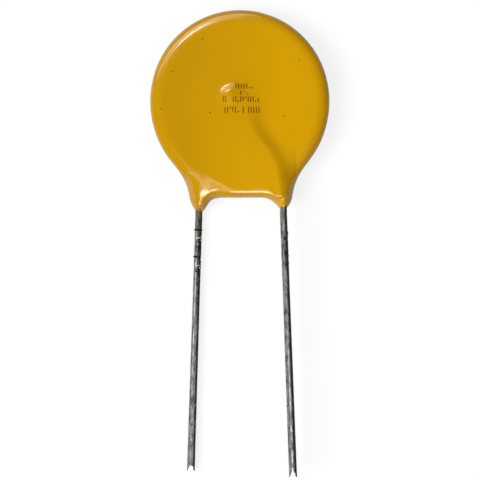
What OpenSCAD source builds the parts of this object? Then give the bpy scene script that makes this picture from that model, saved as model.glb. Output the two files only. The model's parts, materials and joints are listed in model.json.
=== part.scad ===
// Disc varistor with two radial wire leads, dip-coated in lacquer and lying on its back.
// +Z points out of the front face, and the leads run towards -Y.
// The origin is on the surface that the part lies on, under the middle of its whole outline.
// Lengths are in millimetres and angles in degrees.

/* [Ceramic] */
// Diameter of the sintered ceramic disc
ceramic_d = 20; // [18:0.1:25]
// Thickness of the ceramic disc
ceramic_t = 2; // [1.2:0.1:4]
// Rounding of the pressed edge of the ceramic disc
ceramic_edge_r = 0.15; // [0.05:0.05:0.4]

/* [Electrodes and solder] */
// Bare ceramic left round each electrode
electrode_margin = 1; // [0.5:0.1:2.5]
// Thickness of the fired silver layer
electrode_t = 0.05; // [0.03:0.01:0.2]
// Solder left between an electrode and the wire on it
solder_gap = 0.05; // [0.03:0.01:0.15]
// How far the solder spreads past each side of the wire
solder_side = 0.35; // [0.2:0.05:0.5]
// How far short of the electrode's edge the solder stops
solder_back = 1.5; // [0.5:0.1:4]
// How far short of the wire's turn the solder stops
solder_turn_gap = 0.2; // [0.2:0.05:2]

/* [Leads] */
// Diameter of the tinned wire
wire_d = 0.85; // [0.6:0.05:1.1]
// Distance between the leads where they leave the coating
lead_pitch = 10; // [7.5:0.1:12.5]
// Sideways offset of the pair of leads from the disc's middle
lead_shift = 0.12; // [-0.5:0.02:0.5]
// How far past the middle of the pair each soldered end lies
end_across = 1.82; // [0.5:0.02:3]
// How far above the disc's middle each soldered end lies
end_up = 0.95; // [0:0.05:3]
// How far below the disc's middle the leads turn downwards
corner_y = 7.7; // [6:0.1:8.5]
// Radius of that turn, at the middle of the wire
bend_r = 3.5; // [1.5:0.1:4]
// How far the front lead reaches below the web
front_reach = 32.85; // [5:0.05:45]
// How far the rear lead reaches below the web
rear_reach = 32.45; // [5:0.05:45]
// Outward lean of the free part of the front lead
front_splay = 2.1; // [0.5:0.1:6]
// Outward lean of the free part of the rear lead
rear_splay = 1.8; // [0.5:0.1:6]
// Radius of the gentle bend that leans a lead outwards
splay_r = 20; // [15:1:40]
// How far below its leg a lead starts to lean
splay_drop = 0.2; // [0.1:0.05:0.5]
// How much the wire swells in a bend
bend_swell = 0.02; // [0.01:0.01:0.04]

/* [Coating] */
// Coating over the disc's rim
rim_coat = 0.55; // [0.3:0.05:1]
// Coating over the electrodes
face_coat = 0.7; // [0.5:0.05:0.9]
// Coating over the wires where they cross the disc
wire_coat = 0.2; // [0.15:0.05:0.3]
// How much the coating's bump over each wire's end outgrows the ridge
end_bump = 0.05; // [0.04:0.01:0.2]
// Rounding of the coated rim
rim_r = 1.2; // [0.6:0.05:1.4]
// How far the coating's outline sags past the disc's rim, towards the leads
sag = 0.6; // [0.3:0.05:0.8]

/* [Web and legs] */
// How far the web between the leads reaches below the coated disc
web_drop = 1; // [0.9:0.05:2]
// Thickness of the web
web_t = 2.6; // [2.2:0.1:3]
// Coating round the wire in the legs
leg_coat = 0.4; // [0.4:0.05:0.6]
// How far the coating runs down the front lead, below the web
front_leg = 1.05; // [0.5:0.05:4]
// How far the coating runs down the rear lead, below the web
rear_leg = 1.55; // [0.5:0.05:4]
// Rounding of the end of each leg
leg_end_r = 0.35; // [0.1:0.05:0.35]
// Radius of the hollow between the disc's side and each leg
flare_r = 3.5; // [2:0.1:5]

/* [Hidden] */

DISC_FN = 160;
WIRE_FN = 48;

// Overlaps that keep a rod's pieces and a flare's curves from only just touching
BEND_BITE = 0.1;
FLARE_BITE = 0.03;

// Radii
ceramic_r = ceramic_d / 2;
electrode_r = ceramic_r - electrode_margin;
wire_r = wire_d / 2;
solder_r = wire_r + solder_side;
coat_r = ceramic_r + rim_coat;
cover_r = wire_r + wire_coat;
bump_r = cover_r + end_bump;
leg_r = wire_r + leg_coat;

// Heights above the ceramic's middle plane
electrode_z = ceramic_t / 2;
solder_z = electrode_z + electrode_t;
wire_z = solder_z + solder_gap + wire_r;
coat_t = 2 * (solder_z + face_coat);

// Depth of the web's edge below the disc's middle
web_y = coat_r + web_drop;

// The sagged outline is a slightly smaller circle that starts inside the rim and ends below it
sag_r = coat_r - sag / 6;
sag_y = sag + sag / 6;

// The soldered run of a lead: its angle to the Y axis, its length from the wire's end to the
// corner, and the distance from the corner to where the turn begins and ends
slant = atan((lead_pitch / 2 + end_across) / (corner_y + end_up));
run_length = (corner_y + end_up) / cos(slant);
tangent = bend_r * tan(slant / 2);

// The solder stops short of where the run crosses the electrode's edge, and short of the turn
end_along = end_up * cos(slant) + end_across * sin(slant);
edge_along = sqrt(pow(end_along, 2) + pow(electrode_r, 2) - pow(end_up, 2) - pow(end_across, 2));
solder_length = min(end_along + edge_along - solder_back, run_length - tangent - solder_turn_gap);

// The solder's round end is centred a little way along the wire, so that their ends don't coincide
bead_inset = wire_r / 2;
bead_length = solder_length - solder_r - bead_inset;

// The disc's middle, seen from the origin
disc_y = (max(tip_y(front_reach, front_splay), tip_y(rear_reach, rear_splay)) - coat_r) / 2;
disc_z = wire_z + max(bump_r, leg_r);

// Depth of the lowest point of a lead's cut end, below the disc's middle
function tip_y(reach, splay) = web_y + reach + wire_r * sin(splay);

// Puts what is drawn round the disc's middle where it lies
module in_place() {
    translate([0, disc_y, disc_z]) children();
}

// Puts what belongs to one lead on the front face
module on_front() {
    translate([lead_shift, 0, 0]) children();
}

// Puts what belongs to one lead on the rear face, turned over
module on_rear() {
    translate([lead_shift, 0, 0]) rotate([0, 180, 0]) children();
}

// A disc with rounded edges, about its own middle
module rounded_disc(r, t, edge_r) {
    rotate_extrude($fn = DISC_FN) {
        translate([0, -t / 2]) square([r - edge_r, t]);
        translate([0, edge_r - t / 2]) square([r, t - 2 * edge_r]);
        for (side = [-1, 1]) {
            translate([r - edge_r, side * (t / 2 - edge_r)]) circle(r = edge_r, $fn = WIRE_FN);
        }
    }
}

// A piece of round rod bent about the origin, starting on the X axis
module bent_piece(r, middle_r, angle) {
    rotate_extrude(angle = angle, $fn = DISC_FN)
        translate([middle_r, 0]) circle(r = r + bend_swell, $fn = WIRE_FN);
}

// The line of a lead inside the coating: soldered run, turn, and straight down to a depth
module inner_rod(r, depth) {
    start = tangent - BEND_BITE;
    translate([lead_pitch / 2, -corner_y, wire_z]) {
        rotate([0, 0, slant]) translate([0, start, 0]) rotate([-90, 0, 0])
            cylinder(h = run_length - start, r = r, $fn = WIRE_FN);
        translate([-bend_r, -tangent, 0]) bent_piece(r, bend_r, slant);
        translate([0, -start, 0]) rotate([90, 0, 0])
            cylinder(h = depth - corner_y - start, r = r, $fn = WIRE_FN);
    }
}

// The line of a lead outside the coating: the gentle bend and the leaning straight
module outer_rod(r, reach, leg, splay) {
    length = (reach - leg - splay_drop - splay_r * sin(splay)) / cos(splay);
    translate([lead_pitch / 2 + splay_r, -web_y - leg - splay_drop, wire_z]) {
        rotate([0, 0, 180]) bent_piece(r, splay_r, splay);
        rotate([0, 0, splay]) translate([-splay_r, BEND_BITE, 0]) rotate([90, 0, 0])
            cylinder(h = length + BEND_BITE, r = r, $fn = WIRE_FN);
    }
}

// The whole wire of one lead
module lead(reach, leg, splay) {
    inner_rod(wire_r, web_y + leg + splay_drop + BEND_BITE);
    outer_rod(wire_r, reach, leg, splay);
}

// The frame at a lead's soldered end, with -Y along its run, at the given height
module at_end(z) {
    translate([-end_across, end_up, z]) rotate([0, 0, slant]) children();
}

// A long bead of solder on the electrode, before the wire is taken out of it
module solder_bead() {
    at_end(solder_z) intersection() {
        rotate([90, 0, 0]) translate([0, 0, bead_inset]) {
            sphere(r = solder_r, $fn = WIRE_FN);
            cylinder(h = bead_length, r = solder_r, $fn = WIRE_FN);
            translate([0, 0, bead_length]) sphere(r = solder_r, $fn = WIRE_FN);
        }
        translate([-solder_r, -solder_length, 0])
            cube([2 * solder_r, solder_length + solder_r, solder_r]);
    }
}

module solder() {
    difference() {
        solder_bead();
        inner_rod(wire_r, web_y);
    }
}

// The coating over one lead: the ridge on the disc, the bump at its end, and the leg
module lead_cover(leg) {
    length = web_drop + leg;
    inner_rod(cover_r, web_y);
    at_end(wire_z) rotate([90, 0, 0]) sphere(r = bump_r, $fn = WIRE_FN);
    translate([lead_pitch / 2, -coat_r, wire_z]) rotate([90, 0, 0])
        rotate_extrude($fn = WIRE_FN) {
            square([leg_r - leg_end_r, length]);
            square([leg_r, length - leg_end_r]);
            translate([leg_r - leg_end_r, length - leg_end_r])
                circle(r = leg_end_r, $fn = WIRE_FN);
        }
}

// Half of the web's outline, with the hollow flare that joins the disc's side to a leg
module web_half() {
    side_x = lead_pitch / 2 + leg_r;
    flare_x = side_x + flare_r;
    flare_drop = sqrt(pow(sag_r + flare_r, 2) - pow(flare_x, 2));
    flare_y = max(-sag_y - flare_drop, -web_y);
    meet = sag_r / (sag_r + flare_r);
    meet_x = meet * flare_x;
    meet_y = -sag_y - meet * flare_drop;
    translate([0, -web_y]) square([side_x, web_y - corner_y]);
    difference() {
        polygon([[0, flare_y], [flare_x, flare_y], [meet_x, meet_y], [0, meet_y]]);
        translate([flare_x, -sag_y - flare_drop])
            circle(r = flare_r + FLARE_BITE, $fn = DISC_FN);
    }
}

// The sagged skirt of coating that fills the space between the disc and the legs
module web() {
    linear_extrude(height = web_t, center = true) {
        translate([0, -sag_y]) circle(r = sag_r, $fn = DISC_FN);
        translate([lead_shift, 0]) {
            web_half();
            mirror([1, 0]) web_half();
        }
    }
}

module disc() {
    rounded_disc(ceramic_r, ceramic_t, ceramic_edge_r);
}

module electrode() {
    translate([0, 0, electrode_z]) cylinder(h = electrode_t, r = electrode_r, $fn = DISC_FN);
}

// Everything that the coating is moulded round
module core() {
    disc();
    electrode();
    rotate([0, 180, 0]) electrode();
    on_front() {
        solder_bead();
        lead(front_reach, front_leg, front_splay);
    }
    on_rear() {
        solder_bead();
        lead(rear_reach, rear_leg, rear_splay);
    }
}

module ceramic_disc() {
    color("dimgray") in_place() disc();
}

module front_electrode() {
    color("silver") in_place() electrode();
}

module rear_electrode() {
    color("silver") in_place() rotate([0, 180, 0]) electrode();
}

module front_solder() {
    color("lightgray") in_place() on_front() solder();
}

module rear_solder() {
    color("lightgray") in_place() on_rear() solder();
}

module front_lead() {
    color("darkgray") in_place() on_front() lead(front_reach, front_leg, front_splay);
}

module rear_lead() {
    color("darkgray") in_place() on_rear() lead(rear_reach, rear_leg, rear_splay);
}

module epoxy_coating() {
    color("goldenrod") in_place() difference() {
        union() {
            rounded_disc(coat_r, coat_t, rim_r);
            web();
            on_front() lead_cover(front_leg);
            on_rear() lead_cover(rear_leg);
        }
        core();
    }
}

ceramic_disc();
front_electrode();
rear_electrode();
front_solder();
rear_solder();
front_lead();
rear_lead();
epoxy_coating();
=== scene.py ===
"""Looks of a disc varistor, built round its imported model.

The lacquered body, the two tinned leads, the printed block, and the specks, residue and threads of
resin on them are made here and set in a small studio. Shapes are worked out in millimetres about the
middle of the ceramic disc (x to the right, y up towards the top of the disc, z out of the front
face) and are written in metres in the model's own frame.
"""

from __future__ import annotations

import json
import logging
import math
from dataclasses import dataclass, field
from enum import Enum
from typing import Any, Callable, Iterable, Sequence

import bpy
import numpy as np
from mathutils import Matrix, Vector

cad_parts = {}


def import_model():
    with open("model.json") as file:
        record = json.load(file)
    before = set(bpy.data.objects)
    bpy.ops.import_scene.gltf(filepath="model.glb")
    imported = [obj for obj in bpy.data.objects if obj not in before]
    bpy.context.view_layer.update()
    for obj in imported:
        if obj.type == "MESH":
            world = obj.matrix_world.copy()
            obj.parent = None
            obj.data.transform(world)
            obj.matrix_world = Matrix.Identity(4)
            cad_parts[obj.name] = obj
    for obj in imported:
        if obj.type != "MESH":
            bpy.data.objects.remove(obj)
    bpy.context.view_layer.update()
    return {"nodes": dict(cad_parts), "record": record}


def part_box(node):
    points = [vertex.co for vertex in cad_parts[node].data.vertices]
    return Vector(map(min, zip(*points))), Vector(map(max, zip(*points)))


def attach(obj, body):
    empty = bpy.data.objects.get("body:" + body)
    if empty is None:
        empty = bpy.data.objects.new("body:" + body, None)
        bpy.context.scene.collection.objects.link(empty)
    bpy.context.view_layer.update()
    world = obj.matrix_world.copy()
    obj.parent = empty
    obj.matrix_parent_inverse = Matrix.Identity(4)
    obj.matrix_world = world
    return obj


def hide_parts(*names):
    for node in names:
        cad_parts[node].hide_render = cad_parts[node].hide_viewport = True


LOG = logging.getLogger("varistor")
MM = 0.001
BODY = "root"

FieldAt = Callable[[np.ndarray, np.ndarray, np.ndarray], np.ndarray]
Colour = tuple[float, float, float, float]
Span = tuple[float, float]
FALLING: Span = (1.0, 0.0)  # from full to none, where a value rises


class Side(Enum):
    """The two faces of the disc, each with the lead that is soldered to it."""

    FRONT = 1
    REAR = -1

    @property
    def word(self) -> str:
        """Lower-case name of the face, as it stands in the model's node names."""
        return self.name.lower()


# ---- Ramps, and the plan of the part ----


def smooth_step(low: float, high: float, value: np.ndarray) -> np.ndarray:
    """Rise smoothly from 0 at one value to 1 at another."""
    share = np.clip((value - low) / (high - low), 0.0, 1.0)
    return share * share * (3.0 - 2.0 * share)


def soft_ramp(low: float, high: float, soft: float, value: np.ndarray) -> np.ndarray:
    """Straight ramp from 0 to 1 with rounded ends.

    Args:
        low: Value at which the ramp leaves 0.
        high: Value at which it reaches 1.
        soft: Share of the ramp that each rounded end takes.
        value: Values to map.

    Returns:
        The ramp at each value.
    """
    t = np.clip((value - low) / (high - low), 0.0, 1.0)
    steep = 1.0 / (1.0 - soft)
    start = steep * t * t / (2.0 * soft)
    end = 1.0 - steep * (1.0 - t) ** 2 / (2.0 * soft)
    return np.where(t < soft, start, np.where(t > 1.0 - soft, end, steep * (t - soft / 2.0)))


def smooth_min(first: np.ndarray, second: np.ndarray, reach: np.ndarray | float) -> np.ndarray:
    """Join two distance fields with a rounded hollow between them.

    Args:
        first: Distance to the first shape.
        second: Distance to the second shape.
        reach: Difference in distance within which the two flow together.

    Returns:
        The joined field.
    """
    blend = np.maximum(reach - np.abs(first - second), 0.0) / reach
    return np.minimum(first, second) - blend * blend * reach / 4.0


def corners_mm(node: str) -> tuple[np.ndarray, np.ndarray]:
    """Lowest and highest corner of one of the model's nodes, in millimetres."""
    low, high = (np.array(corner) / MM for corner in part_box(node))
    return low, high


@dataclass(frozen=True)
class PinLine:
    """Axis of the free straight of one lead."""

    start: np.ndarray  # where the lead's mount starts
    axis: np.ndarray  # direction towards the tip
    tip_y: float  # height of the tip

    def at_depth(self, y: float) -> np.ndarray:
        """Point of the axis at a height y."""
        return self.start + self.axis * ((y - self.start[1]) / self.axis[1])


@dataclass(frozen=True)
class DiscPlan:
    """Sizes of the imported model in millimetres, about the middle of the ceramic disc."""

    centre: np.ndarray
    coat_r: float
    wire_r: float
    pins: dict[Side, PinLine]

    @classmethod
    def from_frame(cls, record: dict[str, Any]) -> DiscPlan:
        """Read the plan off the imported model.

        Args:
            record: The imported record, whose mounts give the free part of each lead.

        Returns:
            The plan.
        """
        low, high = corners_mm("ceramic_disc")
        centre = (low + high) / 2.0
        coat_low, coat_high = corners_mm("epoxy_coating")
        mounts = {mount["name"]: mount for mount in record["mounts"]}
        pins = {}
        for side in Side:
            mount = mounts[f"{side.word}_lead_pin"]
            start = np.array(mount["pos_m"]) / MM - centre
            lead_low, _ = corners_mm(f"{side.word}_lead")
            pins[side] = PinLine(start, np.array(mount["axis"]), lead_low[1] - centre[1])
        wire_r = mounts["front_lead_pin"]["dims"]["r_mm"]
        return cls(centre, (coat_high[0] - coat_low[0]) / 2.0, wire_r, pins)

    def to_frame(self, points: np.ndarray) -> np.ndarray:
        """Points in metres in the model's frame, from millimetres about the disc's middle."""
        return (points + self.centre) * MM


@dataclass(frozen=True)
class BuriedRun:
    """Where a lead lies inside the lacquer: soldered end, corner, and the stretch straight down."""

    plan: DiscPlan
    side: Side
    end_across: float = 1.82  # soldered end, out from the leads' middle line
    end_up: float = 0.95  # and up from the disc's middle
    corner_y: float = -7.7  # height of the corner, before its bend rounds it off
    bend_r: float = 3.5
    pair_shift: float = 0.12  # how far the leads' middle line lies to the right of the disc's
    splay_r: float = 20.0  # radius of the slight bend that turns the lead outwards
    pin_inset: float = 1.0  # how far past that bend the lead's mount starts

    @property
    def pin(self) -> PinLine:
        """Axis of the lead's free straight."""
        return self.plan.pins[self.side]

    @property
    def lean(self) -> float:
        """Angle at which the free straight leans outwards."""
        return abs(math.asin(self.pin.axis[0]))

    @property
    def splay_y(self) -> float:
        """Height at which the lead starts to lean outwards."""
        splayed = self.pin.start[1] - self.pin_inset * self.pin.axis[1]
        return splayed + self.splay_r * math.sin(self.lean)

    @property
    def down_x(self) -> float:
        """Where the stretch straight down lies, across the disc."""
        splayed = self.pin.at_depth(self.splay_y - self.splay_r * math.sin(self.lean))
        return splayed[0] - self.side.value * self.splay_r * (1.0 - math.cos(self.lean))

    @property
    def end(self) -> np.ndarray:
        """The soldered end, as (x, y)."""
        return np.array([self.pair_shift - self.side.value * self.end_across, self.end_up])

    @property
    def corner(self) -> np.ndarray:
        """The corner that the bend rounds off, as (x, y)."""
        return np.array([self.down_x, self.corner_y])

    @property
    def height(self) -> float:
        """Height of the wire's axis over the disc's middle plane."""
        return self.pin.start[2]

    def across_and_along(self, x: np.ndarray, y: np.ndarray) -> tuple[np.ndarray, np.ndarray]:
        """Place points by the run.

        Args:
            x: Points across the disc.
            y: Points up the disc.

        Returns:
            Signed distance from the line, positive on the side away from the leads' middle, and
            the distance along it from the soldered end.
        """
        run = self.corner - self.end
        run = run / np.linalg.norm(run)
        outward = np.array([-run[1], run[0]]) * self.side.value
        from_run = (x - self.corner[0]) * outward[0] + (y - self.corner[1]) * outward[1]
        from_down = (x - self.down_x) * self.side.value
        across = -smooth_min(-from_run, -from_down, self.bend_r / 2.0)
        along = (x - self.end[0]) * run[0] + (y - self.end[1]) * run[1]
        return across, along


# ---- Meshes ----


def linked(name: str, data: bpy.types.ID) -> bpy.types.Object:
    """Put a mesh, lamp or camera in the scene.

    Args:
        name: Name of the object.
        data: The mesh, lamp or camera.

    Returns:
        The object, at the origin.
    """
    made = bpy.data.objects.new(name, data)
    bpy.context.scene.collection.objects.link(made)
    return made


def line_mesh(name: str, points: np.ndarray, to_a_line: int) -> bpy.types.Mesh:
    """Mesh of lines through points in turn.

    Args:
        name: Name of the mesh.
        points: The lines' points, one line after another.
        to_a_line: How many of them each line has.

    Returns:
        The mesh, which has no faces.
    """
    lines = [(k - 1, k) for k in range(1, len(points)) if k % to_a_line]
    mesh = bpy.data.meshes.new(name)
    mesh.from_pydata(points.tolist(), lines, [])
    return mesh


def mesh_object(name: str, points: np.ndarray, faces: np.ndarray) -> bpy.types.Object:
    """Make a smooth-shaded mesh object at the origin.

    Args:
        name: Name of the piece.
        points: Vertices in metres.
        faces: Quads or triangles, as rows of vertex numbers.

    Returns:
        The new object.
    """
    mesh = bpy.data.meshes.new(name)
    sides = faces.shape[1]
    mesh.vertices.add(len(points))
    mesh.vertices.foreach_set("co", points.astype(np.float32).ravel())
    mesh.loops.add(faces.size)
    mesh.loops.foreach_set("vertex_index", faces.astype(np.int32).ravel())
    mesh.polygons.add(len(faces))
    mesh.polygons.foreach_set("loop_start", np.arange(0, faces.size, sides, dtype=np.int32))
    mesh.update(calc_edges=True)
    mesh.polygons.foreach_set("use_smooth", np.ones(len(faces), bool))
    mesh.validate()
    return linked(name, mesh)


@dataclass(frozen=True)
class SurfaceNet:
    """Meshes the zero surface of a field, with one vertex in each cell that it crosses."""

    low: tuple[float, float, float]
    high: tuple[float, float, float]
    step: float
    settle_rounds: int = 4
    nudge_share: float = 0.125  # nudge that slopes are measured over, as a share of the step
    least_steep: float = 0.04  # a lesser squared slope counts as this, against long jumps

    def build(self, field_at: FieldAt) -> tuple[np.ndarray, np.ndarray]:
        """Mesh the surface.

        Args:
            field_at: Field of x, y and z that is negative inside.

        Returns:
            Vertices in the field's units, and quads that face outwards.
        """
        axes = [np.arange(a, b + self.step, self.step) for a, b in zip(self.low, self.high)]
        values = field_at(*np.meshgrid(*axes, indexing="ij"))
        inside = values < 0.0
        shape = tuple(n - 1 for n in values.shape)
        total, count = np.zeros(shape + (3,)), np.zeros(shape)
        for start in (np.array(corner) for corner in np.ndindex(2, 2, 2)):
            for axis in np.flatnonzero(start == 0):
                stop = start.copy()
                stop[axis] = 1
                a, b = (self._block(corner, shape) for corner in (start, stop))
                crossed = inside[a] != inside[b]
                gap = np.where(crossed, values[a] - values[b], 1.0)
                place = np.broadcast_to(start.astype(float), total.shape).copy()
                place[..., axis] += np.where(crossed, values[a] / gap, 0.0)
                total += place * crossed[..., None]
                count += crossed
        used = count > 0
        index = np.full(shape, -1)
        index[used] = np.arange(int(used.sum()))
        cells = np.argwhere(used)
        points = (cells + total[used] / count[used][:, None]) * self.step + np.array(self.low)
        return self._settle(points, field_at), self._quads(inside, index)

    @staticmethod
    def _block(corner: np.ndarray, shape: tuple[int, ...]) -> tuple[slice, ...]:
        """Slices that take a block of a given shape from a corner on."""
        return tuple(slice(start, start + length) for start, length in zip(corner, shape))

    def _settle(self, points: np.ndarray, field_at: FieldAt) -> np.ndarray:
        """Move points onto the surface along the field's slope.

        Args:
            points: Points near the surface.
            field_at: Field of x, y and z that is negative inside.

        Returns:
            The moved points.
        """
        for _ in range(self.settle_rounds):
            value = field_at(*points.T)
            slope = self._slope(points, field_at)
            steep = np.maximum((slope * slope).sum(1), self.least_steep)
            shift = -slope * (value / steep)[:, None]
            points = points + np.clip(shift, -self.step / 2.0, self.step / 2.0)
        return points

    def _slope(self, points: np.ndarray, field_at: FieldAt) -> np.ndarray:
        """Slope of the field, by differences over a small nudge.

        Args:
            points: Where to measure it.
            field_at: The field.

        Returns:
            Slope along x, y and z at each point.
        """
        nudge = self.step * self.nudge_share
        columns = []
        for step in np.eye(3) * nudge:
            rise = field_at(*(points + step).T) - field_at(*(points - step).T)
            columns.append(rise / (2.0 * nudge))
        return np.stack(columns, axis=1)

    @staticmethod
    def _quads(inside: np.ndarray, index: np.ndarray) -> np.ndarray:
        """Join the cells round each crossed grid edge into a quad.

        Args:
            inside: Which points of the grid lie inside.
            index: Number of the vertex in each cell, or -1.

        Returns:
            Quads that face outwards, as rows of vertex numbers.
        """
        quads = []
        for axis in range(3):
            b, c = (axis + 1) % 3, (axis + 2) % 3
            here, there = [slice(1, -1)] * 3, [slice(1, -1)] * 3
            here[axis], there[axis] = slice(0, -1), slice(1, None)
            starts, stops = inside[tuple(here)], inside[tuple(there)]
            for leaving in (True, False):
                crossed = (starts & ~stops) if leaving else (~starts & stops)
                at = np.argwhere(crossed) + np.array([0 if k == axis else 1 for k in range(3)])
                ring = []
                for db, dc in ((-1, -1), (0, -1), (0, 0), (-1, 0)):
                    cell = at.copy()
                    cell[:, b] += db
                    cell[:, c] += dc
                    ring.append(index[tuple(cell.T)])
                quad = np.stack(ring, axis=1)
                quads.append(quad if leaving else quad[:, ::-1])
        return np.concatenate(quads)


# ---- Lacquered body ----


@dataclass(frozen=True)
class WireRelief:
    """Relief in one face over a buried wire: a nub at its end and a swell along it.

    Spans run along the wire from its soldered end.
    """

    run: BuriedRun
    nub_h: float
    nub_shift: float = 0.17  # nub's crest, to the outer side of the wire's axis
    nub_w: float = 1.05  # half width of the nub on its inner side
    nub_outer_w: float = 1.3  # and on its outer side
    nub_start: float = 0.74  # how far before the wire's end the nub begins at its crest
    nub_bow: float = 1.6  # half width of the nub's round front, as a multiple of nub_w
    nub_rise: float = 1.25  # length over which it rises
    nub_fade: Span = (0.2, 3.2)  # where it merges into the swell
    swell_low: float = 0.30  # height of the swell at its upper end
    swell_high: float = 0.60  # and at its lower end
    swell_begin: Span = (-5.0, 1.0)  # where the swell comes up out of the face
    swell_grow: Span = (0.0, 9.0)  # where it grows to its full height
    crest: float = 0.55  # how far its crest moves to the inner side of the wire's axis
    inner_w: float = 5.0  # half width of its inner flank
    outer_wide: float = 3.2  # half width of its outer flank at the upper end
    outer_tight: float = 1.1  # and further down
    tighten: Span = (1.0, 6.5)  # where the crest moves over and the outer flank tightens

    def height(self, x: np.ndarray, y: np.ndarray) -> np.ndarray:
        """Height above the plain face.

        Args:
            x: Points across the disc.
            y: Points up the disc.

        Returns:
            Height at each point.
        """
        across, along = self.run.across_and_along(x, y)
        tight = smooth_step(*self.tighten, along)
        crest = -self.crest * tight
        outer_w = self.outer_wide + (self.outer_tight - self.outer_wide) * tight
        away = np.where(across > crest, (across - crest) / outer_w, (crest - across) / self.inner_w)
        grown = smooth_step(*self.swell_grow, along)
        rise = self.swell_low + (self.swell_high - self.swell_low) * grown
        swell = rise * np.exp(-away * away) * smooth_step(*self.swell_begin, along)
        beside = across - self.nub_shift
        nub_w = np.where(beside > 0.0, self.nub_outer_w, self.nub_w)
        bow = np.sqrt(np.clip(1.0 - (beside / (self.nub_bow * self.nub_w)) ** 2, 0.0, 1.0))
        begun = smooth_step(0.0, self.nub_rise, along + self.nub_start * bow)
        ended = 1.0 - smooth_step(*self.nub_fade, along)
        nub = self.nub_h * np.exp(-((beside / nub_w) ** 2)) * begun * ended
        return swell + nub


@dataclass(frozen=True)
class LegSleeve:
    """Sleeve of lacquer that has run down one lead, blunt at its foot."""

    run: BuriedRun
    tip: float  # height of the sleeve's end
    slant: float  # how much further it runs down on one side of the wire
    full_r: float = 0.9  # half width, seen square on
    least_r: float = 0.40  # half width that it closes down to, on the wire
    foot: float = 1.3  # length over which it closes
    # Stages in which the face away from the wire falls towards it: the height at which each
    # starts, the slope that it adds, and the length over which it comes to that slope.
    glides: tuple[tuple[float, float, float], ...] = ((-8.6, 0.30, 0.5), (-10.6, 0.20, 0.35))
    blunt: float = 0.7  # length of the rounded end on that face
    ridge_top: float = 1.45  # how far above the tip the ridge over the wire starts to come down
    ridge_length: float = 0.9  # length over which it comes down

    def radius(self, y: np.ndarray) -> np.ndarray:
        """Half width of the sleeve at each height, closing onto the wire at its foot."""
        into_foot = np.clip((self.tip + self.foot - y) / self.foot, 0.0, 1.0)
        return self.least_r + (self.full_r - self.least_r) * (1.0 - into_foot**2)

    def fall(self, y: np.ndarray, face: float) -> np.ndarray:
        """How far the face away from the wire has fallen at each height.

        Args:
            y: Heights.
            face: How far that face lies from the disc's middle plane.

        Returns:
            The fall, which ends at the wire.
        """
        glide = np.zeros_like(y)
        for top, slope, ease in self.glides:
            down = np.maximum(top - y, 0.0)
            glide = glide + slope * (down - ease * (1.0 - np.exp(-down / ease)))
        whole = face + abs(self.run.height) - self.least_r
        into_end = np.clip((self.tip + self.blunt - y) / self.blunt, 0.0, 1.0)
        return glide + (whole - glide) * (1.0 - np.sqrt(1.0 - into_end**2))

    def ridge_share(self, y: np.ndarray) -> np.ndarray:
        """Share of the ridge over the wire that is left at each height."""
        return 1.0 - smooth_step(0.0, self.ridge_length, self.tip + self.ridge_top - y)

    def outline(self, x: np.ndarray, y: np.ndarray, top: float) -> np.ndarray:
        """Distance to the sleeve's outline, seen square on.

        Args:
            x: Points across the disc.
            y: Points up the disc.
            top: Height that the sleeve is cut off at.

        Returns:
            Distance, negative inside.
        """
        from_axis = x - self.run.down_x
        beside = np.abs(from_axis) - self.radius(y + self.slant * from_axis)
        return np.maximum(np.maximum(beside, self.tip - y - self.slant * from_axis), y - top)


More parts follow.
